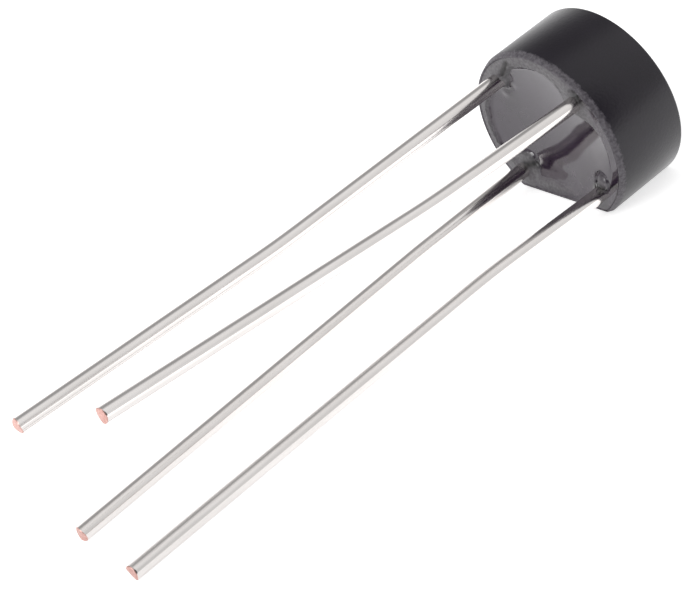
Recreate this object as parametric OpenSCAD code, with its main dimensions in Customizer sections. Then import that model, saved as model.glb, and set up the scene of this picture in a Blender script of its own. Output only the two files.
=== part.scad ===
// Round bridge rectifier with four wire leads, lying on the flat of its case.
// The case is a moulded cup. Four diode dice sit in a ring between the flattened ends of
// the leads, soldered on both faces, and an epoxy fill closes the cup round the leads.
// Each piece is drawn about the cup's own axis, with the rim at z = 0, the leads towards
// -z and the flat towards -y, and is then laid down by lay_down().

/* [Case] */
// Diameter of the case
case_d = 9.1; // [8.8:0.1:9.9]
// Height of the case from the rim to the closed end
case_h = 4.3; // [4:0.1:5.6]
// Distance from the axis to the flat on the side of the case
flat_reach = 3.56; // [3.5:0.02:3.9]
// Thickness of the side wall
wall = 0.5; // [0.4:0.05:0.55]
// Thickness of the closed end
roof = 0.7; // [0.4:0.1:1]
// Radius of the edge round the closed end
edge_r = 0.25; // [0.1:0.05:0.4]
// Height of the bevel outside the rim
rim_bevel_h = 0.3; // [0.1:0.05:0.5]
// Depth of the bevel outside the rim
rim_bevel_w = 0.12; // [0.05:0.01:0.2]
// Width of the narrow lip that the rim is left with
lip_w = 0.06; // [0.04:0.01:0.1]
// Height of the lead-in chamfer inside the rim
mouth_h = 0.4; // [0.2:0.05:0.6]

/* [Leads] */
// Diameter of the lead wire
lead_d = 0.76; // [0.7:0.02:0.82]
// Distance between neighbouring leads, along either side of their square
pitch = 5.06; // [4.9:0.02:5.1]
// Length of the longest lead below the rim
lead_length = 28.8; // [26:0.2:32]
// Gap kept between each lead and the wall of the case, which is relieved round a near lead
lead_gap = 0.08; // [0.04:0.01:0.1]
// Radius of the long bends in the leads
bend_r = 60; // [20:5:80]
// Thickness of the flattened inner ends
pad_t = 0.25; // [0.2:0.01:0.3]
// Width of each arm of a flattened end
pad_arm_w = 1.6; // [1.4:0.05:1.65]
// How far each arm reaches past the middle of its side
pad_overlap = 0.8; // [0.75:0.05:0.9]
// Gap kept between the flattened ends and the wall of the case
pad_gap = 0.1; // [0.05:0.01:0.15]
// Depth of the lower pair of flattened ends below the rim
pad_depth = 1.5; // [1.3:0.05:1.6]

/* [Bends] */
// How much shorter than the longest lead each lead is cut
positive_cut = 0.2; // [0:0.1:2]
// See positive_cut
ac_1_cut = 1.2; // [0:0.1:2]
// See positive_cut
negative_cut = 0; // [0:0.1:2]
// See positive_cut
ac_2_cut = 0.4; // [0:0.1:2]
// How far below the rim each lead bends
positive_bend_at = 14; // [6:0.5:16]
// See positive_bend_at
ac_1_bend_at = 9; // [6:0.5:16]
// See positive_bend_at
negative_bend_at = 7; // [6:0.5:16]
// See positive_bend_at
ac_2_bend_at = 7; // [6:0.5:16]
// How far each lead has leaned across and up at its bend
positive_lean = [0.18, -0.1]; // [-0.4:0.01:0.6]
// See positive_lean
ac_1_lean = [-0.12, 0.51]; // [-0.4:0.01:0.6]
// See positive_lean
negative_lean = [0.33, 0.05]; // [-0.4:0.01:0.6]
// See positive_lean
ac_2_lean = [0.05, -0.07]; // [-0.4:0.01:0.6]
// How far the tip of the positive lead has leaned across and up
positive_tip = [0.88, 0.19]; // [-1:0.01:2.4]
// How far the tip of the first alternating lead has leaned across and up
ac_1_tip = [-0.11, 2.35]; // [-1:0.01:2.4]
// How far across the tip of the negative lead has leaned, down on the surface
negative_tip_across = 0.76; // [-1:0.01:1]
// How far across the tip of the second alternating lead has leaned, down on the surface
ac_2_tip_across = -0.06; // [-1:0.01:1]
// Length of straight wire that shows before a lead leans
neck = 0.3; // [0.2:0.1:0.6]
// Radius of the bend at which a lead starts to lean
neck_bend_r = 4; // [2:1:8]

/* [Diodes] */
// Side of each diode die
die_w = 1.4; // [1:0.05:1.45]
// Thickness of each diode die
die_t = 0.25; // [0.2:0.01:0.3]
// Side of each solder joint
solder_w = 1.3; // [0.9:0.05:1.35]
// Thickness of each solder joint
solder_t = 0.06; // [0.04:0.01:0.08]

/* [Potting] */
// Depth of the middle of the epoxy below the rim
dish_depth = 0.65; // [0.6:0.05:0.8]
// Depth at which the hollow of the epoxy turns up to its shoulder
dish_turn = 0.45; // [0.3:0.05:0.5]
// Width of the epoxy shoulder along the round wall
shoulder_w = 0.55; // [0.45:0.05:0.7]
// Width of the epoxy shoulder along the flat wall
flat_shoulder_w = 0.8; // [0.7:0.05:1]
// How much deeper the hollow turns up along the flat wall, where the bowl is shallower
flat_extra = 0.15; // [0.05:0.05:0.2]
// How far the epoxy shoulder lies below the rim
shoulder_sink = 0.04; // [0.02:0.01:0.08]
// Radius of the top of the epoxy foot that climbs each lead
foot_r = 1.05; // [0.9:0.05:1.2]
// How much wider the foot of a lead is where it meets the hollow
foot_flare = 0.35; // [0.2:0.05:0.5]
// How far inside the wall the middle of a foot stands
foot_inset = 0.12; // [0.05:0.01:0.2]

/* [Hidden] */

$fn = 96;
over = 1;                                  // how far a cutting shape runs past what it cuts
case_r = case_d / 2;
lead_r = lead_d / 2;
inner_r = case_r - wall;
inner_flat = flat_reach - wall;
half_pitch = pitch / 2;

// Heights inside the case, up from the rim: low pads, solder, die, solder, high pads
low_pad_top = pad_depth + pad_t;
low_solder_top = low_pad_top + solder_t;
die_top = low_solder_top + die_t;
high_pad_base = die_top + solder_t;

// The arms reach a little past their wire, and their outer edge keeps clear of the flat wall
pad_rim = 0.05;
arm_outer = min(inner_flat - pad_gap, half_pitch + lead_r + pad_rim);
arm_middle = arm_outer - pad_arm_w / 2;

// Each lead: corner of the square, length cut off its end, distance of the bend below the
// rim, lean at the bend and lean at the tip. The two leads beside the flat come down until
// their tips touch the surface that the flat lies on.
tip_drop = half_pitch + lead_r - flat_reach;
POSITIVE = [[1, 1], positive_cut, positive_bend_at, positive_lean, positive_tip];
AC_1 = [[-1, 1], ac_1_cut, ac_1_bend_at, ac_1_lean, ac_1_tip];
NEGATIVE = [[-1, -1], negative_cut, negative_bend_at, negative_lean, [negative_tip_across, tip_drop]];
AC_2 = [[1, -1], ac_2_cut, ac_2_bend_at, ac_2_lean, [ac_2_tip_across, tip_drop]];
LEADS = [POSITIVE, AC_1, NEGATIVE, AC_2];
bend_swell = 0.005;                        // a bent stretch is this much thicker in radius
splice = 0.02;                             // length that a straight stretch runs into a bend

// Corner of the square of leads, and the middle of each side of the ring of dice
function corner(lead) = half_pitch * lead[0];
function side_middle(i) = arm_middle * [[0, 1], [-1, 0], [0, -1], [1, 0]][i - 1];

// Points along the middle of a lead, from its flattened end to its tip
function lead_points(lead, inner_z) = [
    [corner(lead).x, corner(lead).y, inner_z],
    [corner(lead).x, corner(lead).y, -neck],
    [corner(lead).x + lead[3].x, corner(lead).y + lead[3].y, -lead[2]],
    [corner(lead).x + lead[4].x, corner(lead).y + lead[4].y, lead[1] - lead_length]
];

function unit(v) = v / norm(v);
function bend_angle(a, b, c) = acos(min(1, unit(b - a) * unit(c - b)));
function bend_reach(r, angle) = r * tan(angle / 2);

// Sets the part down as it rests: the flat on z = 0 and the axis along x
module lay_down() {
    translate([(lead_length - case_h) / 2, 0, flat_reach]) rotate([90, 0, 90]) children();
}

// Turns the first half section round the axis, and cuts the flat side with the second
module d_form() {
    intersection() {
        rotate_extrude() children(0);
        union() {
            rotate([90, 0, 90])
                linear_extrude(height = case_d + 2 * over, center = true)
                    mirror([1, 0]) children(1);
            translate([-case_r - over, -over, -over])
                cube([case_d + 2 * over, case_r + 2 * over, case_h + 2 * over]);
        }
    }
}

// The sections below run from the axis out to a wall at the distance reach
module case_section(reach) {
    edge_at = [reach - edge_r, case_h - edge_r];
    polygon([
        [0, 0],
        [reach - rim_bevel_w, 0],
        [reach, rim_bevel_h],
        [reach, edge_at.y],
        edge_at,
        [edge_at.x, case_h],
        [0, case_h]
    ]);
    intersection() {
        translate(edge_at) circle(edge_r);
        translate(edge_at) square(edge_r + over);
    }
}

module cavity_section(reach) {
    mouth_reach = reach + wall - rim_bevel_w - lip_w;
    polygon([
        [0, -over],
        [mouth_reach, -over],
        [mouth_reach, 0],
        [reach, mouth_h],
        [reach, case_h - roof],
        [0, case_h - roof]
    ]);
}

// The hollow in the epoxy: a shallow bowl with a rounded rim that turns up to the shoulder
module dish_section(reach, depth, turn_r) {
    turn_at = reach - turn_r;
    bowl_r = (pow(turn_at, 2) + pow(depth, 2) - pow(turn_r, 2)) / (2 * (depth - turn_r));
    lean = atan2(turn_at, bowl_r - depth);
    intersection() {
        translate([0, depth - bowl_r]) circle(bowl_r, $fn = 360);
        square([turn_at + turn_r * sin(lean), case_h]);
    }
    intersection() {
        translate([turn_at, 0]) circle(turn_r);
        square([reach + over, case_h]);
    }
    translate([0, -over]) square([reach, over]);
}

// The inside of the case, with room for each lead where it comes near the wall
module cavity() {
    d_form() {
        cavity_section(inner_r);
        cavity_section(inner_flat);
    }
    for (lead = LEADS)
        translate([corner(lead).x, corner(lead).y, -over])
            cylinder(h = over + high_pad_base, r = lead_r + lead_gap);
}

// A stretch of round wire from a to b, which runs on past them into the bends there
module rod(a, b, before = 0, after = 0) {
    v = b - a;
    start = a - unit(v) * before;
    translate(start)
        rotate([0, acos(v.z / norm(v)), atan2(v.y, v.x)])
            cylinder(h = norm(v) + before + after, r = lead_r);
}

// A bend in the wire at b, between stretches that come from a and go to c
module bend(a, b, c, r) {
    from = unit(b - a);
    angle = bend_angle(a, b, c);
    normal = unit(cross(from, unit(c - b)));
    side = cross(normal, from);
    start = b - from * bend_reach(r, angle);
    multmatrix([
        [-side.x, from.x, normal.x, start.x + side.x * r],
        [-side.y, from.y, normal.y, start.y + side.y * r],
        [-side.z, from.z, normal.z, start.z + side.z * r],
        [0, 0, 0, 1]
    ])
        rotate_extrude(angle = angle) translate([r, 0]) circle(lead_r + bend_swell);
}

// A wire through four points, with its two inner points rounded
module wire(p) {
    out_1 = unit(p[2] - p[1]);
    out_2 = unit(p[3] - p[2]);
    reach_1 = bend_reach(neck_bend_r, bend_angle(p[0], p[1], p[2]));
    reach_2 = bend_reach(bend_r, bend_angle(p[1], p[2], p[3]));
    rod(p[0], p[1] - unit(p[1] - p[0]) * reach_1, after = splice);
    bend(p[0], p[1], p[2], neck_bend_r);
    rod(p[1] + out_1 * reach_1, p[2] - out_1 * reach_2, before = splice, after = splice);
    bend(p[1], p[2], p[3], bend_r);
    rod(p[2] + out_2 * reach_2, p[3], before = splice);
}

// The flattened end of a lead: two arms that reach along both sides of its corner
module pad(lead, z) {
    translate([0, 0, z]) linear_extrude(height = pad_t) intersection() {
        at_corner(lead) {
            translate([-pad_overlap, arm_outer - pad_arm_w])
                square([pad_overlap + arm_outer, pad_arm_w]);
            translate([arm_outer - pad_arm_w, -pad_overlap])
                square([pad_arm_w, pad_overlap + arm_outer]);
        }
        circle(inner_r - pad_gap);
    }
}

// Mirrors what is drawn for the first corner into the corner of a lead
module at_corner(lead) {
    mirror([lead[0].x < 0 ? 1 : 0, 0]) mirror([0, lead[0].y < 0 ? 1 : 0]) children();
}

module lead_form(lead, pad_z) {
    wire(lead_points(lead, pad_z + pad_t));
    pad(lead, pad_z);
}

module plate(i, z, w, t) {
    translate([side_middle(i).x - w / 2, side_middle(i).y - w / 2, z]) cube([w, w, t]);
}

module dice_and_solder() {
    for (i = [1:4]) {
        plate(i, low_pad_top, solder_w, solder_t);
        plate(i, low_solder_top, die_w, die_t);
        plate(i, die_top, solder_w, solder_t);
    }
}

// The foot of epoxy that climbs a lead, standing against the wall behind it
module foot(lead) {
    middle = unit(lead[0]) * (inner_r - foot_inset);
    translate([middle.x, middle.y, shoulder_sink])
        cylinder(h = dish_depth, r1 = foot_r, r2 = foot_r + foot_flare);
}

module epoxy_form() {
    intersection() {
        cavity();
        union() {
            difference() {
                translate([-case_r, -case_r, shoulder_sink]) cube([case_d, case_d, case_h]);
                translate([0, 0, shoulder_sink]) d_form() {
                    dish_section(case_r - shoulder_w, dish_depth, dish_turn);
                    dish_section(
                        flat_reach - flat_shoulder_w,
                        dish_depth + flat_extra,
                        dish_turn + flat_extra
                    );
                }
            }
            for (lead = LEADS) foot(lead);
        }
    }
}

module case() {
    color([0.13, 0.13, 0.14]) lay_down() difference() {
        d_form() {
            case_section(case_r);
            case_section(flat_reach);
        }
        cavity();
    }
}

module potting() {
    color([0.3, 0.29, 0.31]) lay_down() difference() {
        epoxy_form();
        lead_form(POSITIVE, pad_depth);
        lead_form(NEGATIVE, pad_depth);
        lead_form(AC_1, high_pad_base);
        lead_form(AC_2, high_pad_base);
        dice_and_solder();
    }
}

module lead_positive() {
    color([0.83, 0.81, 0.79]) lay_down() lead_form(POSITIVE, pad_depth);
}

module lead_negative() {
    color([0.83, 0.81, 0.79]) lay_down() lead_form(NEGATIVE, pad_depth);
}

module lead_ac_1() {
    color([0.83, 0.81, 0.79]) lay_down() lead_form(AC_1, high_pad_base);
}

module lead_ac_2() {
    color([0.83, 0.81, 0.79]) lay_down() lead_form(AC_2, high_pad_base);
}

module die(i) {
    color([0.36, 0.38, 0.42]) lay_down() plate(i, low_solder_top, die_w, die_t);
}

module solder(i, z) {
    color([0.7, 0.7, 0.72]) lay_down() plate(i, z, solder_w, solder_t);
}

case();
potting();
lead_positive();
lead_ac_1();
lead_negative();
lead_ac_2();
for (i = [1:4]) {
    die(i);
    solder(i, low_pad_top);
    solder(i, die_top);
}
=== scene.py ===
# %% [markdown]
# # A round bridge rectifier
# Four diodes share one small plastic cup, filled with epoxy, and four wire leads come out of
# it. The part lies on the flat of its cup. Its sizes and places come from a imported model, the
# frame, whose pieces are never moved here. Each new piece below stands for one of the frame's
# solids, and what is hidden in the epoxy stays as the frame has it. Lengths are in metres.

# %% The frame
import math

import bmesh
import bpy
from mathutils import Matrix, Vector, noise


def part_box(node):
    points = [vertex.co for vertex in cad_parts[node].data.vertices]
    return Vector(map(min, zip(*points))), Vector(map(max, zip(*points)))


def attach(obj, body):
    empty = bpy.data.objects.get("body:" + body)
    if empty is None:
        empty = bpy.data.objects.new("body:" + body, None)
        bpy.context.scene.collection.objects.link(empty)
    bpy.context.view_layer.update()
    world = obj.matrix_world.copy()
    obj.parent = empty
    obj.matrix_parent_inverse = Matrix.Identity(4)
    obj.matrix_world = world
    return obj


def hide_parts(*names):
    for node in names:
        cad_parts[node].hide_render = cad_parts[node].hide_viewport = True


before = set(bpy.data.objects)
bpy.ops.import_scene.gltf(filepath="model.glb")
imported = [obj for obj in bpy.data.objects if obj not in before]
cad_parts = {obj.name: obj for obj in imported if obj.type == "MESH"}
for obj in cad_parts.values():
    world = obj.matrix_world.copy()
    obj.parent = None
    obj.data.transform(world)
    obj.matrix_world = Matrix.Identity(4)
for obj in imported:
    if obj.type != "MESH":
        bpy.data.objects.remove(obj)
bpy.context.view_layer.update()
MM = 0.001
print("frame pieces:", len(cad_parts))

# %% [markdown]
# ## Where things are
# The cup's axis lies along x, with the closed end at the +x side. The middle of its open rim
# is the point that the other places are measured from. A point of the cup is given as
# "across", "up" and "deep": its y and z from the axis, and how far it is inside the rim. That
# way each shape can be thought of as if the cup stood on a bench with its mouth up.

# %% Main places, read from the frame
case_low, case_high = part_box("case")
CASE_R = (case_high.y - case_low.y) / 2
CASE_H = case_high.x - case_low.x
AXIS_Z = case_high.z - CASE_R
FLAT_REACH = AXIS_Z - case_low.z
RIM = Vector((case_low.x, 0, AXIS_Z))
print("case radius, height, flat:", [round(v / MM, 2) for v in (CASE_R, CASE_H, FLAT_REACH)])


def at(across, up, deep):
    return RIM + Vector((deep, across, up))


# %% [markdown]
# ## The camera
# A small part is looked at from about a hand's length away through a long lens, which keeps
# its leads from spreading. A camera could be aimed with a constraint, but then its roll is
# hard to set. Here it is placed from the direction that it looks from, its distance and its
# roll, and then slid sideways until the cup sits near the corner.

# %% Camera
VIEW_TURN = math.radians(-121.50)          # direction to the camera, from +x towards +y
VIEW_RISE = math.radians(33.14)            # and above the floor
VIEW_ROLL = math.radians(-19.67)
VIEW_DISTANCE = 119.83 * MM                # from the rim, along the view
SLIDE_LEFT = 9.18 * MM
SLIDE_DOWN = 7.635 * MM
SENSOR = 36                                # width in millimetres
LENS = 132.5                               # also in millimetres

toward = Vector((
    math.cos(VIEW_RISE) * math.cos(VIEW_TURN),
    math.cos(VIEW_RISE) * math.sin(VIEW_TURN),
    math.sin(VIEW_RISE),
))
level_right = Vector((0, 0, 1)).cross(toward).normalized()
level_up = toward.cross(level_right)
view_right = level_right * math.cos(VIEW_ROLL) + level_up * math.sin(VIEW_ROLL)
view_up = level_up * math.cos(VIEW_ROLL) - level_right * math.sin(VIEW_ROLL)

camera = bpy.data.objects.new("camera", bpy.data.cameras.new("camera"))
camera.data.sensor_width = SENSOR
camera.data.lens = LENS
camera.data.clip_start = MM
camera.location = RIM + toward * VIEW_DISTANCE - view_right * SLIDE_LEFT - view_up * SLIDE_DOWN
camera_axes = camera.matrix_world.to_3x3()
camera_axes.col[0], camera_axes.col[1], camera_axes.col[2] = view_right, view_up, toward
camera.rotation_euler = camera_axes.to_euler()
bpy.context.scene.collection.objects.link(camera)
bpy.context.scene.camera = camera
bpy.context.scene.view_settings.view_transform = "Standard"
print("camera at", [round(v / MM, 1) for v in camera.location])

# %% [markdown]
# ## The outline of the cup
# Seen along its axis, the cup is a circle with one side cut flat. Moulded corners are never
# sharp, so the flat runs into the round side through small arcs. A cylinder cut by a box would
# leave those corners sharp. So one function gives the outline at any size, always with the
# same number of points, and outlines of different size can be joined point by point.

# %% The outline of the cup
ROUND_STEPS, CORNER_STEPS, FLAT_STEPS = 340, 12, 56


def arc(centre, radius, start, end, steps):
    """Points from one angle towards another, without the last one."""
    for k in range(steps):
        turn = start + (end - start) * k / steps
        yield centre[0] + radius * math.cos(turn), centre[1] + radius * math.sin(turn)


def cup_outline(reach, flat, corner):
    """Points (across, up) round a circle of radius reach with a flat at the distance flat."""
    side = math.sqrt((reach - corner) ** 2 - (flat - corner) ** 2)
    lean = math.atan2(corner - flat, side)
    points = list(arc((0, 0), reach, lean, math.pi - lean, ROUND_STEPS))
    points += arc((-side, corner - flat), corner, math.pi - lean, 1.5 * math.pi, CORNER_STEPS)
    points += [(side * (2 * k / FLAT_STEPS - 1), -flat) for k in range(FLAT_STEPS)]
    points += arc((side, corner - flat), corner, -0.5 * math.pi, lean, CORNER_STEPS)
    return points


print("points in an outline:", ROUND_STEPS + FLAT_STEPS + 2 * CORNER_STEPS)

# %% [markdown]
# ## Joining rings into a closed mesh
# A moulded, poured or drawn piece can be built as a stack of rings of points, each joined to
# the next with quads, and closed at both ends. Blender's curves could be lofted too, but mesh
# code keeps every ring where it is wanted. Smooth shading hides the facets of round sides, and
# edges that turn more than a set angle stay crisp.

# %% Rings to mesh, and mesh to piece
SHARP_TURN = math.radians(38)


def skin(shape, rings, first_middle, last_middle):
    """Joins rings of points with quads, and closes each end with a fan to its middle."""
    grown = [[shape.verts.new(p) for p in ring] for ring in rings]
    for low, high in zip(grown, grown[1:]):
        for k in range(len(low)):
            j = (k + 1) % len(low)
            shape.faces.new((low[k], low[j], high[j], high[k]))
    for ring, middle in ((grown[0], first_middle), (grown[-1], last_middle)):
        tip = shape.verts.new(middle)
        for k in range(len(ring)):
            shape.faces.new((ring[k], ring[(k + 1) % len(ring)], tip))


def finished_mesh(name, shape):
    bmesh.ops.recalc_face_normals(shape, faces=shape.faces)
    mesh = bpy.data.meshes.new(name)
    shape.to_mesh(mesh)
    shape.free()
    return mesh


def link_piece(name, mesh, replaced):
    piece = bpy.data.objects.new(name, mesh)
    bpy.context.scene.collection.objects.link(piece)
    mesh.shade_smooth()
    mesh.set_sharp_from_angle(angle=SHARP_TURN)
    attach(piece, "root")
    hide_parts(replaced)
    print(name, "faces:", len(mesh.polygons))
    return piece


# %% [markdown]
# ## The cup
# It is moulded in one shot: a bevel outside the rim, a chamfer inside it, a straight side and a
# rounded edge round the closed end. A bevel modifier would round all its edges alike. So a list
# of (distance in from the outside, depth) pairs is its section, and an outline is laid at each
# pair. The rounded edge is a quarter circle.

# %% The section of the cup
CORNER_R = 0.3 * MM
WALL = 0.5 * MM
ROOF = 0.7 * MM
EDGE_R = 0.16 * MM
EDGE_STEPS = 8
BEVEL_IN, BEVEL_DEEP = 0.12 * MM, 0.3 * MM
LIP = 0.06 * MM                            # width of the rim between bevel and chamfer
MOUTH_DEEP = 0.4 * MM                      # depth of the chamfer
SOFT = 0.012 * MM                          # how far a moulded edge is rounded off


def cup_section():
    yield WALL, CASE_H - ROOF
    yield WALL, MOUTH_DEEP
    yield BEVEL_IN + LIP, SOFT
    yield BEVEL_IN + LIP - SOFT, 0
    yield BEVEL_IN + SOFT, 0
    yield BEVEL_IN - SOFT / 2, SOFT
    yield SOFT, BEVEL_DEEP - SOFT
    yield 0, BEVEL_DEEP + SOFT
    for k in range(EDGE_STEPS + 1):
        turn = math.pi / 2 * k / EDGE_STEPS
        yield EDGE_R * (1 - math.cos(turn)), CASE_H - EDGE_R * (1 - math.sin(turn))


print("steps in the cup's section:", len(list(cup_section())))


# %% Cup
def moulded_cup():
    shape = bmesh.new()
    rings = []
    for inset, deep in cup_section():
        sides = cup_outline(CASE_R - inset, FLAT_REACH - inset, max(CORNER_R - inset, SOFT))
        rings.append([at(across, up, deep) for across, up in sides])
    skin(shape, rings, at(0, 0, CASE_H - ROOF), at(0, 0, CASE_H))
    return link_piece("moulded_cup", finished_mesh("moulded_cup", shape), "case")


cup_piece = moulded_cup()

# %% [markdown]
# ## The epoxy
# The cup is filled with liquid epoxy, which creeps up its wall and up the wires before it
# hardens, and sinks in the middle. The result is a glossy bowl inside a matt, grainy shelf,
# with a grainy foot behind each wire. It can't be revolved, because the feet and the flat
# break the circle, and a sculpted surface has no sizes that could be changed later. So its
# surface is one function, which gives the depth at every point, and the next cells build that
# function up in parts.

# %% Where the epoxy and the wires are
potting_low, potting_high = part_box("potting")
FILL_R = potting_high.y
FILL_INSET = FILL_R - (CASE_R - WALL)      # its straight side is this far inside its mouth
FILL_FLAT = AXIS_Z - potting_low.z
FILL_TOP = potting_low.x - RIM.x
FILL_END = potting_high.x - RIM.x
HALF_PITCH = 2.53 * MM
WIRE_R = 0.38 * MM
CORNERS = {"positive": (1, 1), "ac_1": (-1, 1), "negative": (-1, -1), "ac_2": (1, -1)}
print("epoxy reach and flat:", round(FILL_R / MM, 3), round(FILL_FLAT / MM, 3))


def wire_gap(across, up, name):
    """Distance to the middle of a wire."""
    x, y = CORNERS[name]
    return math.hypot(across - x * HALF_PITCH, up - y * HALF_PITCH)


def hill(distance, width):
    """A smooth bump of height 1, which has all but gone at twice its width."""
    return math.exp(-(distance / width) ** 2)


# %% [markdown]
# ## The bowl
# The hardened epoxy sinks most near the middle, like the inside of a shallow spoon. Towards
# the flat side it fills up a little along the line between two wires. A paraboloid and a bank
# with a soft foot give both, and each has a plain number for its depth or slope.

# %% The bowl and the bank beside it
BOWL_DEEP = 0.65 * MM                      # at its lowest point
BOWL_LOWEST = (0.4 * MM, 0.5 * MM)         # which is a little off the axis
BOWL_BEND = 31                             # metres of rise per square metre, off that point
BANK_RISE = 0.05                           # slope of the bank below the line between two wires
BANK_TURN = math.radians(142.6)            # direction of that line, from the wire ac_2
BANK_SOFT = 0.5 * MM
BANK_END = (2.6 * MM, 5.4 * MM)            # where it fades out along the line


def bank_height(across, up):
    """Rise of the gentle bank that fills the side of the bowl towards the flat."""
    out = Vector((across - HALF_PITCH, up + HALF_PITCH))
    along = out.dot(Vector((math.cos(BANK_TURN), math.sin(BANK_TURN))))
    below = -out.dot(Vector((math.sin(BANK_TURN), -math.cos(BANK_TURN))))
    fade = min(max((BANK_END[1] - along) / (BANK_END[1] - BANK_END[0]), 0), 1)
    return BANK_RISE * (below + math.hypot(below, BANK_SOFT)) / 2 * fade * fade * (3 - 2 * fade)


def bowl_depth(across, up):
    off = math.hypot(across - BOWL_LOWEST[0], up - BOWL_LOWEST[1])
    return BOWL_DEEP - BOWL_BEND * off * off - bank_height(across, up)


print("bowl depth on the axis:", round(bowl_depth(0, 0) / MM, 3))

# %% [markdown]
# ## The shelf and the feet
# Along the wall and round each wire the epoxy stands higher, where it wetted the plastic and
# the tin. Each of these is a slope that starts at its own line, and the surface is the
# shallowest of them all. Taking the plain minimum would leave sharp valleys, so two depths
# that are nearly the same are blended.

# %% The shelf and the feet
BLEND = 0.22 * MM                          # how softly surfaces run into each other
SHELF_FALL = 1.4                           # slopes into the bowl: of the shelf along the wall,
FLAT_FALL = 0.5                            # of the epoxy along the flat,
FOOT_FALL = 1.5                            # and of the feet round the wires
SHELF_DEEP = 0.05 * MM
FLAT_SHELF = 0.34 * MM                     # width of the shelf along the flat
# Width of the shelf along the round wall in millimetres: on average, and how much more it is
# at the top and how much less at the +across side
SHELF_WIDTH, SHELF_MORE, SHELF_LESS = 0.3, 0.2, 0.07
# For each wire: how much wider the shelf is behind it, over which angle, and the depth and
# radius of its foot
FEET = {
    "positive": (0.5, 0.27, 0.24, 0.42),
    "ac_1": (0.9, 0.31, 0.14, 0.5),
    "negative": (0.35, 0.27, 0.26, 0.5),
    "ac_2": (0.5, 0.35, 0.17, 0.86),
}
WOBBLE = 0.05 * MM                         # how far the edge of the shelf wanders,
WOBBLES = 2.2                              # and how often per millimetre


def soft_least(a, b):
    """The smaller of two depths, rounded where they are nearly the same."""
    mix = max(BLEND - abs(a - b), 0) / BLEND
    return min(a, b) - mix * mix * BLEND / 4


def shelf_width(across, up):
    """Width of the matt shelf between the round wall and the bowl."""
    turn = math.atan2(up, across)
    width = SHELF_WIDTH + SHELF_MORE * math.sin(turn) - SHELF_LESS * math.cos(turn)
    for name, (wing, spread, deep, foot) in FEET.items():
        corner = math.atan2(CORNERS[name][1], CORNERS[name][0])
        width += wing * hill(math.remainder(turn - corner, 2 * math.pi), spread)
    return width * MM


def shelf_depth(across, up):
    """Depth of the shelf and of the feet, which fall away steeply over the bowl."""
    wobble = WOBBLE * noise.noise(Vector((across, up, 0)) / MM * WOBBLES)
    into_round = max(FILL_R - math.hypot(across, up) - shelf_width(across, up) + wobble, 0)
    into_flat = max(FILL_FLAT + up - FLAT_SHELF + wobble, 0)
    depth = soft_least(SHELF_FALL * into_round, FLAT_FALL * into_flat) + SHELF_DEEP
    for name, (wing, spread, deep, foot) in FEET.items():
        beyond = max(wire_gap(across, up, name) - foot * MM + 2 * wobble, 0)
        depth = soft_least(depth, deep * MM + FOOT_FALL * beyond)
    return depth


print("shelf depth at the wall:", round(shelf_depth(0, FILL_R) / MM, 3))

# %% [markdown]
# ## Grain, groove and creep
# Where the epoxy is matt it is grainy too. It draws back from the plastic in a fine groove
# along part of the rim, and creeps a hair's breadth up each wire. A bump texture could fake
# these, but they show at the edge of the surface and in its shadows, so they are in the mesh.

# %% Grain, groove and creep
GRAIN = 0.02 * MM
GRAINS, FINE_GRAINS, FINE_SHARE = 4, 9, 0.7    # bumps per millimetre, and the finer ones' share
SWELL, SWELLS = 0.005 * MM, 0.9            # slow waves over all of the epoxy
GROOVE_DEEP, GROOVE_WIDE = 0.06 * MM, 0.05 * MM
GROOVE_SHARE = (0.15, 0.45, -0.25)         # on the axis, and what up and across add
CREEP_HIGH, CREEP_WIDE = 0.05 * MM, 0.07 * MM


def grain_depth(across, up, matt):
    place = Vector((across, up, 0)) / MM
    grain = noise.noise(place * GRAINS) + FINE_SHARE * noise.noise(place * FINE_GRAINS)
    return GRAIN * matt * grain + SWELL * noise.noise(place * SWELLS)


def groove_depth(across, up):
    middle, more_up, more_across = GROOVE_SHARE
    share = max(middle + (more_up * up + more_across * across) / FILL_R, 0)
    return GROOVE_DEEP * share * math.exp(-(FILL_R - math.hypot(across, up)) / GROOVE_WIDE)


def creep_height(across, up):
    nearest = min(wire_gap(across, up, name) for name in CORNERS) - WIRE_R
    return CREEP_HIGH * math.exp(-max(nearest, 0) / CREEP_WIDE)


print("groove at the top of the wall:", round(groove_depth(0, FILL_R) / MM, 3))

# %% [markdown]
# ## Marks of the pour
# No two of these parts are alike. This one has a burst bubble near one wire, a crease near
# another, and a few small lumps and pits, some darkened with painted shade. Each is a small
# bump or dip about a point or a stretch, because a random texture couldn't put them in their
# places.

# %% Marks of the pour
# Small rises, and dips where the rise is negative: middle, width and rise in millimetres
SPOTS = (
    ((2.62, 1.65), 0.22, 0.05), ((2.1, 2.05), 0.2, -0.03),
    ((-2.7, 3.05), 0.22, -0.22), ((-2.1, 3.35), 0.22, 0.05), ((-3.15, 2.15), 0.34, 0.08),
    ((-3.0, -2.85), 0.2, -0.08), ((2.2, -2.1), 0.25, 0.05),
)
CREASE = ((1.5, 3.74), (2.12, 2.88))       # its ends, in millimetres
CREASE_DEEP, CREASE_WIDE = 0.09 * MM, 0.07     # the width is in millimetres
# Pits and creases darkened with painted shade: start, end and width in millimetres
SHADED_PITS = (
    ((1.45, 3.8), (2.1, 2.95), 0.13), ((-2.75, 2.95), (-3.05, 2.75), 0.24),
    ((2.3, -2.15), (1.7, -2.1), 0.22), ((-2.35, -2.15), (-2.9, -2.1), 0.2),
    ((-3.5, -1.85), (-3.95, -1.6), 0.1), ((-3.2, 3.1), (-3.9, 2.0), 0.07),
)


def stretch_gap(across, up, start, end):
    """Distance to the stretch between two points, all in millimetres."""
    here, start, end = Vector((across, up)) / MM, Vector(start), Vector(end)
    share = (here - start).dot(end - start) / (end - start).length_squared
    return (here - start.lerp(end, min(max(share, 0), 1))).length


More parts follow.
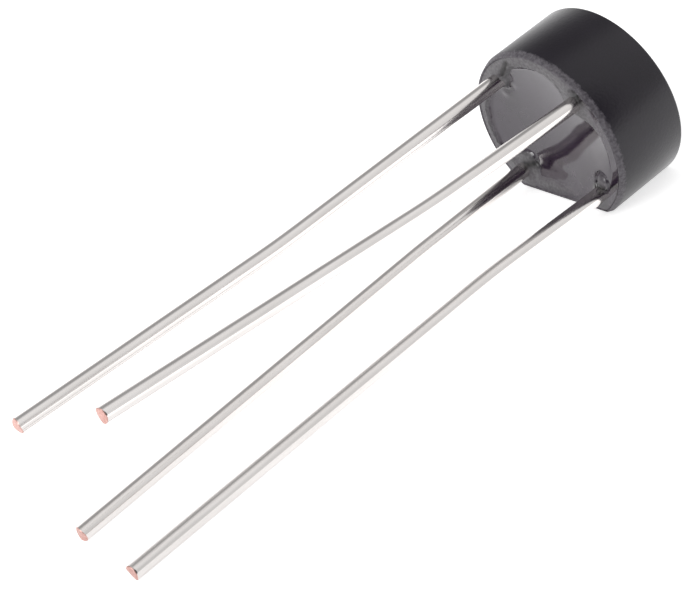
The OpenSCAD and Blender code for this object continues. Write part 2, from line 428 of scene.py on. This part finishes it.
def mark_depth(across, up):
    depth = CREASE_DEEP * hill(stretch_gap(across, up, *CREASE), CREASE_WIDE)
    for middle, width, rise in SPOTS:
        gap = math.hypot(across / MM - middle[0], up / MM - middle[1])
        depth -= rise * MM * hill(gap, width)
    return depth


def painted_shade(across, up):
    """How much painted shade darkens the pits and creases, from 0 to 1."""
    pits = max(hill(stretch_gap(across, up, start, end), width) for start, end, width in SHADED_PITS)
    return min(pits, 1)


print("spots:", len(SPOTS), "dark pits:", len(SHADED_PITS))

# %% [markdown]
# ## The surface of the epoxy
# The parts come together here: the shallower of shelf and bowl, then the fine marks, and last
# the burst bubble, a ring-shaped dent round a low heap. The function also tells how matt the
# epoxy is, because its skin turns from glossy to matt where it rises out of the bowl.

# %% The surface of the epoxy
MATT_RISE = 0.12 * MM                      # how far above the bowl the surface turns matt
BUBBLE = (-2.85 * MM, -1.8 * MM)
DENT_DEEP, DENT_R, DENT_WIDE = 0.13 * MM, 0.46 * MM, 0.08 * MM
HEAP_HIGH, HEAP_WIDE = 0.14 * MM, 0.3 * MM
BUBBLE_MATT, BUBBLE_REACH = 0.7, 0.42 * MM


def epoxy_depth(across, up):
    """Depth of the epoxy below the rim, and how matt it is there, from 0 to 1."""
    bowl, shelf = bowl_depth(across, up), shelf_depth(across, up)
    matt = min(max((bowl - shelf) / MATT_RISE, 0), 1)
    depth = soft_least(shelf, bowl)
    depth += grain_depth(across, up, matt) + groove_depth(across, up)
    depth += mark_depth(across, up) - creep_height(across, up)
    off = math.hypot(across - BUBBLE[0], up - BUBBLE[1])
    depth += DENT_DEEP * hill(off - DENT_R, DENT_WIDE) - HEAP_HIGH * hill(off, HEAP_WIDE)
    matt = max(matt, BUBBLE_MATT * hill(off, BUBBLE_REACH))
    return max(depth, FILL_TOP / 2), matt


print("epoxy depth on the axis:", round(epoxy_depth(0, 0)[0] / MM, 3))

# %% [markdown]
# ## The epoxy's mesh
# A square grid would cut across the round wall in steps. So the rings are the outline of the
# cup, shrunk towards the middle, and the last of them is the epoxy's own edge. Below it the
# side goes down inside the cup. How matt each point is, and how much painted shade darkens it,
# goes into the mesh as two attributes, which the epoxy's finish reads.

# %% Epoxy
EPOXY_RINGS = 140


def epoxy_fill():
    shape = bmesh.new()
    matt_layer = shape.verts.layers.float.new("matt")
    # The dark attribute holds painted shade: how much the pits and creases are darkened
    shade_layer = shape.verts.layers.float.new("dark")
    side = cup_outline(FILL_R, FILL_FLAT, CORNER_R - BEVEL_IN)
    rings, matt, dark = [], [], []
    for k in range(1, EPOXY_RINGS + 1):
        share = k / EPOXY_RINGS
        depths = [epoxy_depth(a * share, u * share) for a, u in side]
        rings.append([at(a * share, u * share, d) for (a, u), (d, m) in zip(side, depths)])
        matt += [m for d, m in depths]
        dark += [painted_shade(a * share, u * share) for a, u in side]
    for deep in (MOUTH_DEEP, FILL_END):
        below = cup_outline(FILL_R - FILL_INSET, FILL_FLAT - FILL_INSET, SOFT)
        rings.append([at(a, u, deep) for a, u in below])
        matt += [1.0] * len(below)
        dark += [0.0] * len(below)
    skin(shape, rings, at(0, 0, epoxy_depth(0, 0)[0]), at(0, 0, FILL_END))
    shape.verts.ensure_lookup_table()
    for vert, matt_here, shade_here in zip(shape.verts, matt, dark):
        vert[matt_layer] = matt_here
        vert[shade_layer] = shade_here
    return link_piece("epoxy_fill", finished_mesh("epoxy_fill", shape), "potting")


epoxy_piece = epoxy_fill()

# %% [markdown]
# ## The paths of the wires
# Each lead is drawn copper wire with a thin coat of tin. It leaves the epoxy straight, leans
# over a short bend, and bends once more over a long, gentle arc. A free curve would never be
# quite straight between its bends. So a path is four points, with an arc at each inner one.

# %% Paths of the wires
LONGEST = 28.8 * MM
NECK = 0.3 * MM                            # height of the short bend above the rim
TIP_DROP = HALF_PITCH + WIRE_R - FLAT_REACH    # what brings a lower wire's tip to the floor
PAD_THICK = 0.25 * MM
# For each wire, in millimetres: shorter by, bend at, lean at the bend, lean at the tip, and
# depth of its inner end
WIRES = {
    "positive": (0.2, 14, (0.18, -0.1), (0.88, 0.19), 1.75),
    "ac_1": (1.2, 9, (-0.12, 0.51), (-0.11, 2.35), 2.37),
    "negative": (0, 7, (0.33, 0.05), (0.76, TIP_DROP / MM), 1.75),
    "ac_2": (0.4, 7, (0.05, -0.07), (-0.06, TIP_DROP / MM), 2.37),
}


def wire_points(name):
    shorter, bend_at, bend_lean, tip_lean, inner = WIRES[name]
    x, y = (HALF_PITCH * sign for sign in CORNERS[name])
    return (
        at(x, y, inner * MM - PAD_THICK / 2),
        at(x, y, -NECK),
        at(x + bend_lean[0] * MM, y + bend_lean[1] * MM, -bend_at * MM),
        at(x + tip_lean[0] * MM, y + tip_lean[1] * MM, shorter * MM - LONGEST),
    )


print("lowest tip above the floor:", round((wire_points("negative")[-1].z - WIRE_R) / MM, 3))

# %% [markdown]
# ## Rounding the bends
# A wire that is bent over a round jaw takes the jaw's radius. Each inner point of a path gives
# way to an arc that touches both stretches, and all of the path is cut into short steps.

# %% Rounded paths
NECK_BEND_R = 4 * MM
BEND_R = 60 * MM
PATH_STEP = 0.25 * MM
FEWEST_BEND_STEPS = 3


def straight(a, b):
    steps = max(1, math.ceil((b - a).length / PATH_STEP))
    return [a.lerp(b, k / steps) for k in range(steps)]


def rounded_path(points, radii):
    """Points along a path of straight stretches, with an arc at each inner corner."""
    last_stop = points[0]
    path = []
    for before, here, after, radius in zip(points, points[1:], points[2:], radii):
        come, go = (here - before).normalized(), (after - here).normalized()
        turn = come.angle(go)
        reach = radius * math.tan(turn / 2)
        inward = (go - come * come.dot(go)).normalized()
        start = here - come * reach
        steps = max(FEWEST_BEND_STEPS, math.ceil(radius * turn / PATH_STEP))
        path += straight(last_stop, start)
        for k in range(steps):
            t = turn * k / steps
            path.append(start + come * radius * math.sin(t) + inward * radius * (1 - math.cos(t)))
        last_stop = here + go * reach
    return path + straight(last_stop, points[-1]) + [points[-1]]


wire_paths = {name: rounded_path(wire_points(name), (NECK_BEND_R, BEND_R)) for name in WIRES}
for name, path in wire_paths.items():
    print(name, "path points:", len(path))

# %% [markdown]
# ## The flattened ends
# Inside the epoxy each lead ends in a flat L-shaped pad, which carries two of the dice. It
# can't be seen, yet the piece that stands for the lead keeps it, so that the model is whole
# when it is cut open. It is an outline raised to a plate, cut round where the cup is near.

# %% Pads
PAD_ARM = 1.6 * MM                         # width of each arm of a pad
PAD_PAST = 0.8 * MM                        # how far an arm reaches past the middle of its side
PAD_OUTER = HALF_PITCH + WIRE_R + 0.05 * MM    # a pad is a little wider than the wire
PAD_REACH = FILL_R - FILL_INSET - 0.1 * MM     # and stays clear of the cup
PAD_CORNER_STEPS = 4


def pad_outline(x, y):
    """Outline of the L-shaped pad that reaches along both sides of a corner of the square."""
    inner = PAD_OUTER - PAD_ARM
    clip = math.acos(PAD_OUTER / PAD_REACH)
    corner = arc((0, 0), PAD_REACH, clip, math.pi / 2 - clip, PAD_CORNER_STEPS)
    points = [(-PAD_PAST, PAD_OUTER), (-PAD_PAST, inner), (inner, inner)]
    points += [(inner, -PAD_PAST), (PAD_OUTER, -PAD_PAST), *corner]
    points += [(PAD_REACH * math.sin(clip), PAD_OUTER)]
    return [(x * across, y * up) for across, up in points]


def add_pad(shape, name):
    """The flattened end of a lead inside the case, as a plate of its own."""
    inner = WIRES[name][-1] * MM
    low, high = (
        [shape.verts.new(at(across, up, deep)) for across, up in pad_outline(*CORNERS[name])]
        for deep in (inner - PAD_THICK, inner)
    )
    for k in range(len(low)):
        j = (k + 1) % len(low)
        shape.faces.new((low[k], low[j], high[j], high[k]))
    shape.faces.new(low)
    shape.faces.new(high)


print("points in a pad's outline:", len(pad_outline(1, 1)))

# %% [markdown]
# ## The wires
# A curve with a round bevel would make a wire, but not the end that side cutters leave: a
# blunt wedge, with its edge pulled a little round. So a ring of points is carried along the
# path, and the last rings shrink over the wedge. Each wire was cut at its own turn.

# %% Rings along a wire
WIRE_SIDES = 40
TURNS = [2 * math.pi * k / WIRE_SIDES for k in range(WIRE_SIDES)]
BURR = 0.03 * MM                           # length of the rounded edge at the cut
WEDGE_SLOPE = 0.2                          # how steeply the cut falls away from its ridge
RIDGE = 0.07 * MM                          # half the width of the blunt ridge
# Rings at the cut: share of the wire's radius, and how far behind the cut
CUT_RINGS = ((1, 3 * BURR), (1, BURR), (0.93, 0), (0.75, 0), (0.5, 0), (0.25, 0))


def path_direction(path, k):
    return (path[min(k + 1, len(path) - 1)] - path[max(k - 1, 0)]).normalized()


def spokes(ahead):
    """Directions out from the middle of a wire that runs ahead, one at each turn."""
    first = Vector((0, 0, 1)).cross(ahead).normalized()
    second = ahead.cross(first)
    return [first * math.cos(turn) + second * math.sin(turn) for turn in TURNS]


def wedge_fall(turn, share):
    """How far the cut has fallen back at a turn from its ridge and a share of the radius."""
    away = abs(math.sin(turn)) * WIRE_R * share
    return WEDGE_SLOPE * max(away - RIDGE, 0)


print("sides of a wire:", WIRE_SIDES)


# %% Wire
def wire_mesh(name, ridge_turn):
    path = wire_paths[name]
    rings = []
    for k, point in enumerate(path[:-1]):
        rings.append([point + out * WIRE_R for out in spokes(path_direction(path, k))])
    tip, ahead = path[-1], path_direction(path, len(path) - 1)
    for share, behind in CUT_RINGS:
        ring = []
        for turn, out in zip(TURNS, spokes(ahead)):
            back = wedge_fall(turn - ridge_turn, share) + behind
            ring.append(tip + out * WIRE_R * share - ahead * back)
        rings.append(ring)
    shape = bmesh.new()
    skin(shape, rings, path[0], tip)
    add_pad(shape, name)
    return finished_mesh("wire_" + name, shape)


RIDGE_TURNS = {"positive": 0.4, "ac_1": 1.9, "negative": 2.6, "ac_2": 1.1}
wire_pieces = {}
for name, ridge_turn in RIDGE_TURNS.items():
    mesh = wire_mesh(name, ridge_turn)
    wire_pieces[name] = link_piece("wire_" + name, mesh, "lead_" + name)

# %% [markdown]
# ## Bare copper at the cut
# Tin covers the side of a wire, but not the face that the cutters made. The faces of the cut
# are the ones near the tip that look along the wire, so they get a finish of their own by
# their place and direction. A texture could do the same, but its border would be blurred.

# %% Faces of the cut
TIN, COPPER = 0, 1                         # places in a wire's list of finishes
CUT_FACING = 0.5                           # a face of the cut looks along the wire at least so much


def paint_cut(name):
    """Gives the faces of the cut the copper finish."""
    path, mesh = wire_paths[name], wire_pieces[name].data
    tip, ahead = path[-1], path_direction(path, len(path) - 1)
    for face in mesh.polygons:
        near = (tip - face.center).dot(ahead) < WIRE_R
        facing = abs(face.normal.dot(ahead)) > CUT_FACING
        face.material_index = COPPER if near and facing else TIN
    return sum(face.material_index == COPPER for face in mesh.polygons)


for name in wire_pieces:
    print("copper faces of", name + ":", paint_cut(name))

# %% [markdown]
# ## Building a finish from nodes
# Every finish here is a Principled shader with a few procedural textures in front of it. An
# image could be wrapped round a piece instead, but it would have to be unwrapped, and it blurs
# close up. These helpers add a node, set its inputs by name and join sockets, so that each
# finish reads as a short recipe.

# %% Adding and joining nodes
def new_finish(name, **values):
    finish = bpy.data.materials.new(name)
    finish.use_nodes = True
    shader = finish.node_tree.nodes["Principled BSDF"]
    for key, value in values.items():
        shader.inputs[key.replace("_", " ")].default_value = value
    return finish, shader


def add_node(finish, kind, **values):
    """Adds a node, and sets what is named: an input if it has one of that name."""
    node = finish.node_tree.nodes.new(kind)
    for key, value in values.items():
        socket = key.replace("_", " ")
        if socket in node.inputs:
            node.inputs[socket].default_value = value
        else:
            setattr(node, key, value)
    return node


def join(finish, source, target):
    finish.node_tree.links.new(source, target)


def feed(finish, value, socket):
    """Joins another node's output to a socket, or sets the socket to a plain value."""
    if isinstance(value, bpy.types.NodeSocket):
        join(finish, value, socket)
    else:
        socket.default_value = value


# %% Calculating with nodes
def calculate(finish, operation, *values):
    node = add_node(finish, "ShaderNodeMath", operation=operation)
    for value, socket in zip(values, node.inputs):
        feed(finish, value, socket)
    return node.outputs[0]


def remap(finish, source, start, end, low=0.0, high=1.0, kind="LINEAR"):
    """Turns a value that runs from start to end into one that runs from low to high."""
    node = add_node(finish, "ShaderNodeMapRange", interpolation_type=kind)
    for socket, value in zip(("From Min", "From Max", "To Min", "To Max"), (start, end, low, high)):
        node.inputs[socket].default_value = value
    join(finish, source, node.inputs["Value"])
    return node.outputs[0]


# %% Colours from nodes
def grey(v):
    return (v, v, v)


def ramp(finish, source, stops):
    """Turns a value from 0 to 1 into a colour through (place, colour) stops."""
    node = add_node(finish, "ShaderNodeValToRGB")
    elements = node.color_ramp.elements
    while len(elements) < len(stops):
        elements.new(0.5)
    for element, (place, colour) in zip(elements, stops):
        element.position = place
        element.color = (*colour, 1)
    join(finish, source, node.inputs["Fac"])
    return node.outputs["Color"]


def mixed(finish, share, first, second):
    """Goes from the first colour to the second as the share goes from 0 to 1."""
    node = add_node(finish, "ShaderNodeMix", data_type="RGBA")
    join(finish, share, node.inputs["Factor"])
    feed(finish, first, node.inputs["A"])
    feed(finish, second, node.inputs["B"])
    return node.outputs["Result"]


# %% Speckles
SPECKLE_DETAIL = 3
SOFT_START, CRISP_START = 0.3, 0.35        # where a speckle's first tone ends


def speckle(finish, scale, stretch=(1, 1, 1)):
    """Noise fixed to the object, at a number of bumps per metre, stretched along its axes."""
    place = add_node(finish, "ShaderNodeTexCoord")
    fit = add_node(finish, "ShaderNodeMapping", Scale=stretch)
    grain = add_node(finish, "ShaderNodeTexNoise", Scale=scale, Detail=SPECKLE_DETAIL)
    join(finish, place.outputs["Object"], fit.inputs["Vector"])
    join(finish, fit.outputs["Vector"], grain.inputs["Vector"])
    return grain.outputs["Fac"]


def speckled(finish, tones, scale, stretch=(1, 1, 1), start=SOFT_START):
    """Two tones that run into each other over the middle of a speckle's range."""
    stops = [(start, tones[0]), (1 - start, tones[1])]
    return ramp(finish, speckle(finish, scale, stretch), stops)


def bump(finish, shader, source, strength, distance):
    node = add_node(finish, "ShaderNodeBump", Strength=strength, Distance=distance)
    join(finish, source, node.inputs["Height"])
    join(finish, node.outputs["Normal"], shader.inputs["Normal"])


def describe(finish):
    print(finish.name, "nodes:", len(finish.node_tree.nodes))


# %% [markdown]
# ## Moulded black plastic
# The cup is black with a faint violet cast, and its side is as smooth as the mould. Its rim is
# grey and rough, as a thin moulded edge is once it has been rubbed. The rim could have a
# material of its own, but its border would follow the faces of the mesh. Here one material has
# two tones, and a grainy mask along the axis says which of them shows.

# %% Mask of the worn rim
RIM_GRAIN = 6000                           # bumps per metre
RIM_WANDER = 0.3 * MM
RIM_WORN, RIM_CLEAN = 0.08 * MM, 0.2 * MM  # past the bevel: fully worn, and not worn


def rim_mask(finish):
    """1 at the rim of the cup and 0 past its bevel, with a grainy border."""
    place = add_node(finish, "ShaderNodeTexCoord")
    split = add_node(finish, "ShaderNodeSeparateXYZ")
    join(finish, place.outputs["Object"], split.inputs["Vector"])
    grain = speckle(finish, RIM_GRAIN)
    along = calculate(finish, "MULTIPLY_ADD", grain, RIM_WANDER, split.outputs["X"])
    edge = RIM.x + BEVEL_DEEP
    return remap(finish, along, edge + RIM_CLEAN, edge + RIM_WORN)


# %% Moulded plastic
PLASTIC_TONES = ((0.0072, 0.0045, 0.0105), (0.0098, 0.0062, 0.0138))
WORN_TONES = ((0.07, 0.063, 0.074), (0.15, 0.138, 0.156))
PLASTIC_ROUGH, WORN_ROUGH = 0.3, 0.5
PLASTIC_GRAIN, WORN_GRAIN = 900, 7000      # bumps per metre
PLASTIC_BUMP, PLASTIC_BUMP_DEEP = 0.4, 0.02 * MM


def case_plastic():
    finish, shader = new_finish("case_plastic", IOR=1.45)
    tone = speckled(finish, PLASTIC_TONES, PLASTIC_GRAIN)
    worn = speckled(finish, WORN_TONES, WORN_GRAIN, start=CRISP_START)
    rim = rim_mask(finish)
    rough = ramp(finish, rim, [(0, grey(PLASTIC_ROUGH)), (1, grey(WORN_ROUGH))])
    join(finish, mixed(finish, rim, tone, worn), shader.inputs["Base Color"])
    join(finish, rough, shader.inputs["Roughness"])
    bump(finish, shader, speckle(finish, WORN_GRAIN), PLASTIC_BUMP, PLASTIC_BUMP_DEEP)
    return finish


plastic = case_plastic()
describe(plastic)

# %% [markdown]
# ## Potting epoxy
# The bowl is dark and nearly as glossy as glass, the shelf and the feet are grey and matt, and
# painted shade darkens the pits. The mesh knows where each of these is, so the finish reads its
# attributes and needs no image mask. A high index of refraction gives the wet look.

# %% Epoxy finish
BOWL_TONES = ((0.029, 0.0175, 0.033), (0.04, 0.027, 0.046))
SHELF_TONES = ((0.085, 0.08, 0.088), (0.15, 0.142, 0.152))
# Near-black painted shade for the pits and creases
PAINTED_SHADE_TONE = (0.006, 0.005, 0.006, 1)
BOWL_ROUGH, SHELF_ROUGH = 0.08, 0.52
FULLY_ROUGH_AT = 0.8                       # of the way from glossy to matt
BOWL_GRAIN, SHELF_GRAIN = 1500, 7000       # bumps per metre


def potting_epoxy():
    finish, shader = new_finish("potting_epoxy", IOR=1.65)
    matt = add_node(finish, "ShaderNodeAttribute", attribute_name="matt").outputs["Fac"]
    dark = add_node(finish, "ShaderNodeAttribute", attribute_name="dark").outputs["Fac"]
    bowl = speckled(finish, BOWL_TONES, BOWL_GRAIN)
    shelf = speckled(finish, SHELF_TONES, SHELF_GRAIN, start=CRISP_START)
    # The dark attribute mixes in the painted shade of the pits and creases
    tone = mixed(finish, dark, mixed(finish, matt, bowl, shelf), PAINTED_SHADE_TONE)
    rough = ramp(finish, matt, [(0, grey(BOWL_ROUGH)), (FULLY_ROUGH_AT, grey(SHELF_ROUGH))])
    join(finish, tone, shader.inputs["Base Color"])
    join(finish, rough, shader.inputs["Roughness"])
    return finish


epoxy_finish = potting_epoxy()
describe(epoxy_finish)

# %% [markdown]
# ## Tin and copper
# Tin dipped on drawn wire is a warm, pale grey mirror with fine streaks along the wire, which
# the drawing die left. A speckle that is stretched along x gives the streaks in tone and in
# roughness. The cut copper is rougher and has a plain fine speckle.

# %% Tin
TIN_TONES = ((0.705, 0.676, 0.66), (0.775, 0.746, 0.732))
TIN_ROUGH = (0.14, 0.22)
STREAKS, LONG_STREAKS = (0.1, 1, 1), (0.05, 1, 1)
TIN_GRAIN, TIN_ROUGH_GRAIN = 2500, 4000    # bumps per metre


def tinned_wire():
    finish, shader = new_finish("tinned_wire", Metallic=1.0)
    tone = speckled(finish, TIN_TONES, TIN_GRAIN, STREAKS)
    rough = speckled(finish, [grey(v) for v in TIN_ROUGH], TIN_ROUGH_GRAIN, LONG_STREAKS)
    join(finish, tone, shader.inputs["Base Color"])
    join(finish, rough, shader.inputs["Roughness"])
    return finish


tin = tinned_wire()
describe(tin)


# %% Copper, silicon and solder
COPPER_TONES = ((0.53, 0.29, 0.25), (0.74, 0.48, 0.44))
COPPER_GRAIN, HIDDEN_GRAIN = 9000, 3000    # bumps per metre
LIGHTER = 1.15


def speckled_finish(name, tones, scale, **values):
    """A finish whose colour alone varies."""
    finish, shader = new_finish(name, **values)
    join(finish, speckled(finish, tones, scale), shader.inputs["Base Color"])
    return finish


def hidden_finish(name, colour, **values):
    """For a piece inside the epoxy: one colour and a slightly lighter one."""
    lighter = [LIGHTER * c for c in colour]
    return speckled_finish(name, (colour, lighter), HIDDEN_GRAIN, **values)


copper = speckled_finish("cut_copper", COPPER_TONES, COPPER_GRAIN, Metallic=1.0, Roughness=0.42)
silicon = hidden_finish("silicon", (0.12, 0.13, 0.15), Roughness=0.3)
solder = hidden_finish("solder", (0.5, 0.5, 0.52), Metallic=1.0, Roughness=0.45)
for finish in (copper, silicon, solder):
    describe(finish)

# %% [markdown]
# ## Giving each piece its finish
# The frame's own solids take the finish of their kind, by the first word of their names. The
# new pieces take theirs after that, and a wire takes tin and copper, in the order that the
# faces of its cut count on.

# %% Finishes on the pieces
FINISH = {
    "case": plastic,
    "potting": epoxy_finish,
    "lead": tin,
    "die": silicon,
    "solder": solder,
}
for name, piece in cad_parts.items():
    piece.data.materials.clear()
    piece.data.materials.append(FINISH[name.split("_")[0]])
cup_piece.data.materials.append(plastic)
epoxy_piece.data.materials.append(epoxy_finish)
for piece in wire_pieces.values():
    piece.data.materials.append(tin)
    piece.data.materials.append(copper)
dressed = [*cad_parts.values(), cup_piece, epoxy_piece, *wire_pieces.values()]
print("pieces with a finish:", len(dressed))

# %% [markdown]
# ## The floor
# The part lies on a white sheet. A sheet lit as plainly as the part would look light grey, and
# more light would burn out the tin. So the floor itself glows a little for the camera. It glows
# for mirrored rays too, a painted reflection that makes tin and epoxy show a white sheet: less
# beyond the tips of the leads, to keep their lower sides from burning out, and hardly at all at
# the foot of the cup's rim, as a painted shadow where the shadow lies.

# %% Floor
FLOOR_SIZE = 0.8
FLOOR_TONE = (0.85, 0.85, 0.85, 1)
WHITE = (1, 1, 1, 1)
SEEN_GLOW = 0.68                           # for rays from the camera
# Glow for mirrored rays, a painted reflection: at two distances from a point, and smooth in between
TIPS_SIDE = (-25 * MM, -12 * MM, 0)
TIPS_NEAR, TIPS_FAR = 12 * MM, 36 * MM
TIPS_GLOW, CUP_GLOW = 0.55, 1
# A painted shadow in the mirrored glow, round the foot of the cup's rim
RIM_FOOT = (12.25 * MM, 0.9 * MM, 0)
FOOT_NEAR, FOOT_FAR = 0.5 * MM, 2.3 * MM
PAINTED_SHADOW_GLOW = 0.1


def glow_round(finish, point, near, far, near_glow, far_glow):
    place = add_node(finish, "ShaderNodeTexCoord")
    gap = add_node(finish, "ShaderNodeVectorMath", operation="DISTANCE")
    join(finish, place.outputs["Object"], gap.inputs[0])
    gap.inputs[1].default_value = point
    return remap(finish, gap.outputs["Value"], near, far, near_glow, far_glow, "SMOOTHSTEP")


def floor_white():
    finish, shader = new_finish(
        "floor_white", Roughness=0.9, Base_Color=FLOOR_TONE, Emission_Color=WHITE
    )
    rays = add_node(finish, "ShaderNodeLightPath")
    tips = glow_round(finish, TIPS_SIDE, TIPS_NEAR, TIPS_FAR, TIPS_GLOW, CUP_GLOW)
    # Painted shadow: the mirrored glow drops at the foot of the rim
    foot = glow_round(finish, RIM_FOOT, FOOT_NEAR, FOOT_FAR, PAINTED_SHADOW_GLOW, 1)
    both = calculate(finish, "MULTIPLY", tips, foot)
    mirrored = calculate(finish, "MULTIPLY", both, rays.outputs["Is Glossy Ray"])
    seen = calculate(finish, "MULTIPLY", rays.outputs["Is Camera Ray"], SEEN_GLOW)
    glow = calculate(finish, "ADD", mirrored, seen)
    join(finish, glow, shader.inputs["Emission Strength"])
    return finish


bpy.ops.mesh.primitive_plane_add(size=FLOOR_SIZE)
floor = bpy.context.object
floor.name = "floor"
floor.data.materials.append(floor_white())
describe(floor.data.materials[0])

# %% [markdown]
# ## The studio's walls
# A round black side and a mirror of tin show little but what stands round them, so the walls
# matter more here than the lamp. White walls on all sides would make the part look flat. In
# bands about the cup's axis they are white in front and overhead, dark high up behind, and
# brightest low down behind. Towards the tips of the leads they are plain grey.

# %% Bands of the walls
# Places of the ramp are half turns about the cup's axis: 0 is the horizon at the camera's
# side, 0.5 is overhead and 1 is the horizon behind.
WALLS = (
    (0.0, 0.97), (0.05, 0.88), (0.12, 0.88), (0.25, 0.96), (0.44, 1.02), (0.51, 0.9),
    (0.58, 0.46), (0.7, 0.38), (0.78, 0.42), (0.85, 0.75), (0.93, 1.3), (1.0, 1.5),
)
TIPS_WALL = (0.6, 0.6, 0.6, 1)
TIPS_BORDER = 0.15                         # the two run into each other from this x to minus this

studio = bpy.data.worlds.new("studio")
bpy.context.scene.world = studio
studio.use_nodes = True
direction = add_node(studio, "ShaderNodeTexCoord").outputs["Generated"]
split = add_node(studio, "ShaderNodeSeparateXYZ")
join(studio, direction, split.inputs["Vector"])
front = calculate(studio, "MULTIPLY", split.outputs["Y"], -1)
lift = calculate(studio, "ARCTAN2", split.outputs["Z"], front)
half_turns = calculate(studio, "DIVIDE", lift, math.pi)
bands = ramp(studio, half_turns, [(place, grey(tone)) for place, tone in WALLS])
tips_side = remap(studio, split.outputs["X"], TIPS_BORDER, -TIPS_BORDER)
walls = mixed(studio, tips_side, bands, TIPS_WALL)
print("bands in the walls:", len(WALLS))

# %% [markdown]
# ## A dark card
# Tin that mirrors only white walls looks like paper. A dark card just below the camera is what
# a studio uses to give such a surface its depth. It could be a real plane, but then it would
# also shade the floor, so it is a dark round patch in the walls with a soft edge. The camera
# itself sees plain white all round.

# %% Dark card, and the walls as the camera sees them
CARD_TOWARD = (-0.491, -0.801, 0.342)
CARD_EDGE, CARD_DARK = math.radians(48), math.radians(30)
CARD_TONE = 0.06

facing = add_node(studio, "ShaderNodeVectorMath", operation="DOT_PRODUCT")
facing.inputs[1].default_value = CARD_TOWARD
join(studio, direction, facing.inputs[0])
card = remap(
    studio, facing.outputs["Value"], math.cos(CARD_EDGE), math.cos(CARD_DARK),
    1, CARD_TONE, "SMOOTHSTEP",
)
dimmed = add_node(studio, "ShaderNodeVectorMath", operation="SCALE")
join(studio, walls, dimmed.inputs[0])
join(studio, card, dimmed.inputs["Scale"])
rays = add_node(studio, "ShaderNodeLightPath")
seen = mixed(studio, rays.outputs["Is Camera Ray"], dimmed.outputs[0], WHITE)
join(studio, seen, studio.node_tree.nodes["Background"].inputs["Color"])
describe(studio)

# %% [markdown]
# ## The lamp
# The walls light the part evenly. One weak softbox beyond the tips of the leads looks along
# them into the cup, and gives the shelf and the feet of the epoxy their shape. It is large for
# its distance, so that its shadows stay soft. A sun lamp would draw them hard.

# %% Softbox
SOFTBOX_PLACE = (-0.38, 0.04, 0.22)
SOFTBOX_SIZE = 0.2
SOFTBOX_POWER = 0.8                        # watts

softbox = bpy.data.objects.new("key", bpy.data.lights.new("key", "AREA"))
softbox.data.energy = SOFTBOX_POWER
softbox.data.size = SOFTBOX_SIZE
softbox.location = SOFTBOX_PLACE
softbox.rotation_euler = (-softbox.location).to_track_quat("-Z", "Y").to_euler()
bpy.context.scene.collection.objects.link(softbox)
print("softbox at", [round(v, 2) for v in softbox.location])
